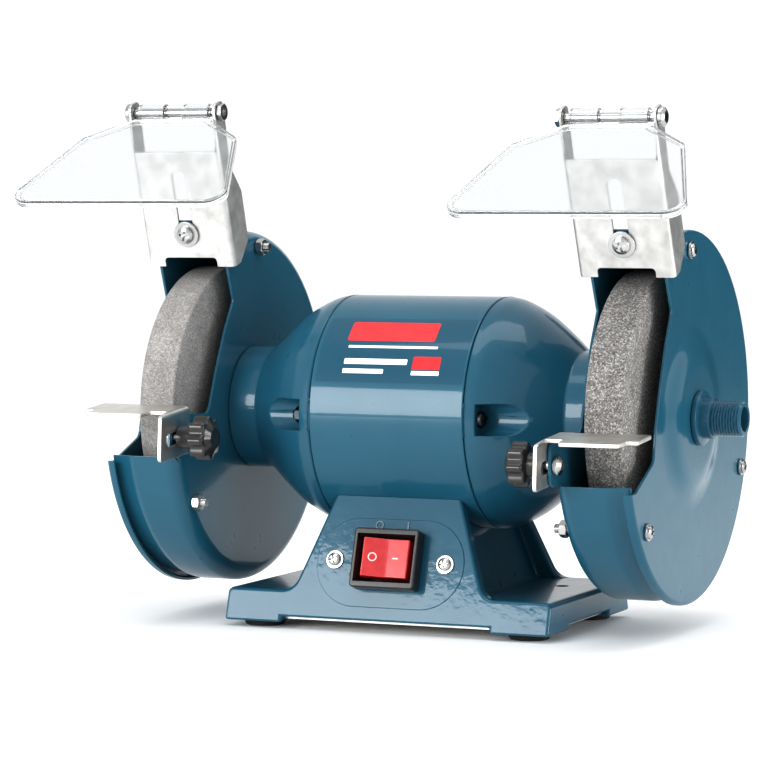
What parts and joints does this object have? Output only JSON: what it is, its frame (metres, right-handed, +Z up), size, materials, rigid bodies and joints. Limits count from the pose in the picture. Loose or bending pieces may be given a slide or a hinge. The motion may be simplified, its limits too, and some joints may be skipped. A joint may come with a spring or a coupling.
{
  "type": "bench grinder",
  "caption": "Bench grinder with a grinding wheel at each end of a motor on a pedestal, with guards, tilting eye shields, sliding tool rests and a threaded drive outlet.",
  "frame": {"origin": "on the bench, under the middle of the grinder's overall box; the spindle runs 19.7 mm behind it and 110.6 mm above it", "axes": "+Z up, +X along the spindle towards the end with the threaded outlet, -Y towards the operator"},
  "size_m": [0.3684, 0.23, 0.2722],
  "materials": {
    "blue_paint": "gloss",
    "zinc_plate": "satin",
    "bright_steel": "satin",
    "core_steel": "matte",
    "winding": "satin",
    "black_plastic": "satin",
    "rubber": "matte",
    "clear_plastic": "gloss",
    "red_plastic": "gloss",
    "fine_stone": "matte",
    "coarse_stone": "matte",
    "can": "satin"
  },
  "bodies": {
    "frame": {"base": "blue_paint", "bottom_plate": "zinc_plate", "foot_front_left": "rubber", "foot_front_right": "rubber", "foot_rear_left": "rubber", "foot_rear_right": "rubber", "panel_screw_left": "zinc_plate", "panel_screw_right": "zinc_plate", "switch_frame": "black_plastic", "capacitor": "can", "cable_gland": "black_plastic", "motor_shell": "blue_paint", "end_bell_left": "blue_paint", "end_bell_right": "blue_paint", "tie_bolt_front": "zinc_plate", "tie_bolt_rear": "zinc_plate", "stator_core": "core_steel", "stator_winding": "winding", "bearing_outer_left": "bright_steel", "bearing_outer_right": "bright_steel", "guard_left": "blue_paint", "guard_cover_left": "blue_paint", "guard_right": "blue_paint", "guard_cover_right": "blue_paint", "guard_bolt_left_1": "zinc_plate", "guard_bolt_left_2": "zinc_plate", "guard_bolt_left_3": "zinc_plate", "guard_bolt_right_1": "zinc_plate", "guard_bolt_right_2": "zinc_plate", "guard_bolt_right_3": "zinc_plate", "shaft_outlet": "blue_paint", "bracket_screw_left": "zinc_plate", "bracket_screw_right": "zinc_plate"},
    "spindle": {"shaft": "bright_steel", "rotor": "core_steel", "wheel_left": "fine_stone", "wheel_right": "coarse_stone", "inner_flange_left": "zinc_plate", "inner_flange_right": "zinc_plate", "outer_flange_left": "zinc_plate", "outer_flange_right": "zinc_plate", "spindle_nut_left": "bright_steel", "spindle_nut_right": "bright_steel", "bearing_inner_left": "bright_steel", "bearing_inner_right": "bright_steel"},
    "spark_bracket_left": {"spark_bracket_left": "zinc_plate", "hinge_bolt_left": "zinc_plate"},
    "eye_shield_left": {"eye_shield_left": "clear_plastic"},
    "rest_clamp_left": {"clamp_bolt_left": "zinc_plate"},
    "tool_rest_left": {"tool_rest_left": "zinc_plate"},
    "clamp_knob_left": {"clamp_knob_left": "black_plastic"},
    "spark_bracket_right": {"spark_bracket_right": "zinc_plate", "hinge_bolt_right": "zinc_plate"},
    "eye_shield_right": {"eye_shield_right": "clear_plastic"},
    "rest_clamp_right": {"clamp_bolt_right": "zinc_plate"},
    "tool_rest_right": {"tool_rest_right": "zinc_plate"},
    "clamp_knob_right": {"clamp_knob_right": "black_plastic"},
    "switch_rocker": {"switch_rocker": "red_plastic"}
  },
  "joints": [
    {"name": "spindle_spin", "type": "hinge", "parent": "frame", "child": "spindle", "pos_m": [0, 0.01968, 0.1106], "axis": [1, 0, 0], "continuous": true},
    {"name": "spark_bracket_left_slide", "type": "slide", "parent": "frame", "child": "spark_bracket_left", "axis": [0, -0.294, 0.9558], "range_m": [-0.01, 0]},
    {"name": "eye_shield_left_tilt", "type": "hinge", "parent": "spark_bracket_left", "child": "eye_shield_left", "pos_m": [-0.1235, -0.03112, 0.26697], "axis": [1, 0, 0], "range_deg": [-75, 3]},
    {"name": "tool_rest_left_tilt", "type": "hinge", "parent": "frame", "child": "rest_clamp_left", "pos_m": [-0.1235, -0.07286, 0.10013], "axis": [1, 0, 0], "range_deg": [-2, 25]},
    {"name": "tool_rest_left_slide", "type": "slide", "parent": "rest_clamp_left", "child": "tool_rest_left", "axis": [0, -0.9962, -0.0872], "range_m": [-0.002, 0.004]},
    {"name": "clamp_knob_left_turn", "type": "hinge", "parent": "rest_clamp_left", "child": "clamp_knob_left", "pos_m": [-0.089, -0.07286, 0.10013], "axis": [1, 0, 0], "range_deg": [0, 180]},
    {"name": "spark_bracket_right_slide", "type": "slide", "parent": "frame", "child": "spark_bracket_right", "axis": [0, -0.3762, 0.9266], "range_m": [-0.01, 0]},
    {"name": "eye_shield_right_tilt", "type": "hinge", "parent": "spark_bracket_right", "child": "eye_shield_right", "pos_m": [0.1235, -0.04455, 0.26194], "axis": [1, 0, 0], "range_deg": [-75, 8]},
    {"name": "tool_rest_right_tilt", "type": "hinge", "parent": "frame", "child": "rest_clamp_right", "pos_m": [0.1235, -0.0716, 0.0921], "axis": [1, 0, 0], "range_deg": [-2, 25]},
    {"name": "tool_rest_right_slide", "type": "slide", "parent": "rest_clamp_right", "child": "tool_rest_right", "axis": [0, -0.9962, -0.0872], "range_m": [-0.002, 0.004]},
    {"name": "clamp_knob_right_turn", "type": "hinge", "parent": "rest_clamp_right", "child": "clamp_knob_right", "pos_m": [0.089, -0.0716, 0.0921], "axis": [1, 0, 0], "range_deg": [-180, 0]},
    {"name": "switch_rocker_press", "type": "hinge", "parent": "frame", "child": "switch_rocker", "pos_m": [0, -0.03753, 0.03766], "axis": [0, 0.2961, 0.9552], "range_deg": [-22, 0]}
  ]
}
